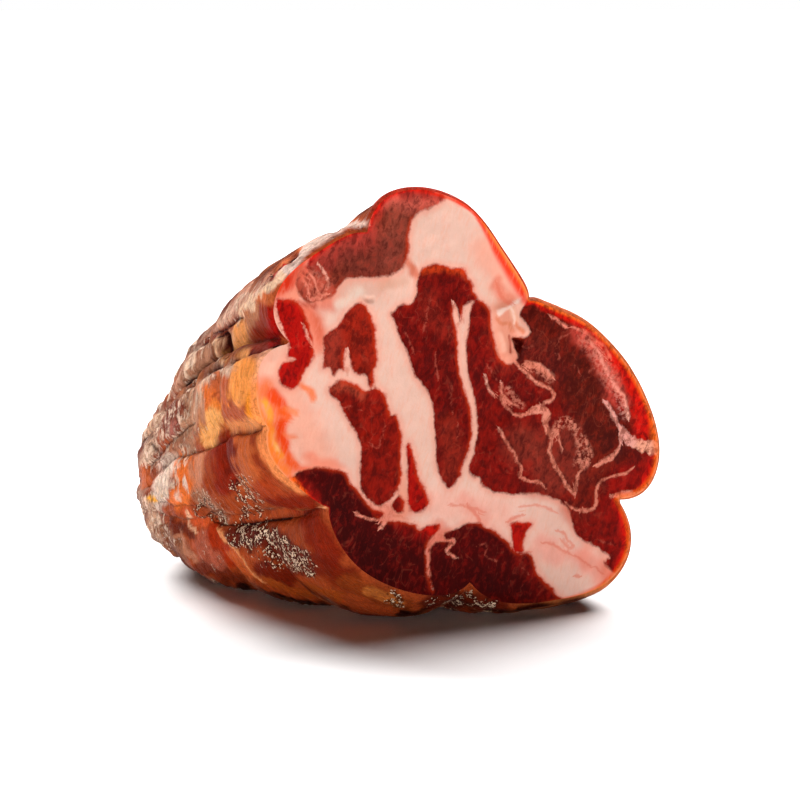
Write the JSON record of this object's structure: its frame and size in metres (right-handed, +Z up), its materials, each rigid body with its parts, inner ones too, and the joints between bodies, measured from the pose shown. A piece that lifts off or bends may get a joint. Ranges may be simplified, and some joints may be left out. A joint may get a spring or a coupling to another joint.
{
  "type": "cured pork neck half",
  "caption": "Half of a dry-cured, net-tied pork neck lying on its side, with a marbled cut face, lobes pulled in by the net's strings and a blunt tied end.",
  "frame": {"origin": "under the middle of the piece's box, on the plane that it rests on", "axes": "+Z up; the flat cut face looks along -Y; the body runs back along +Y and bends towards -X, where the tied end is"},
  "size_m": [0.1215, 0.1113, 0.1141],
  "materials": {
    "cured_pork": "moist satin cut face of dark red lean and creamy fat; dry brown wrinkled skin"
  },
  "bodies": {
    "root": {"coppa": "cured_pork"}
  },
  "joints": []
}
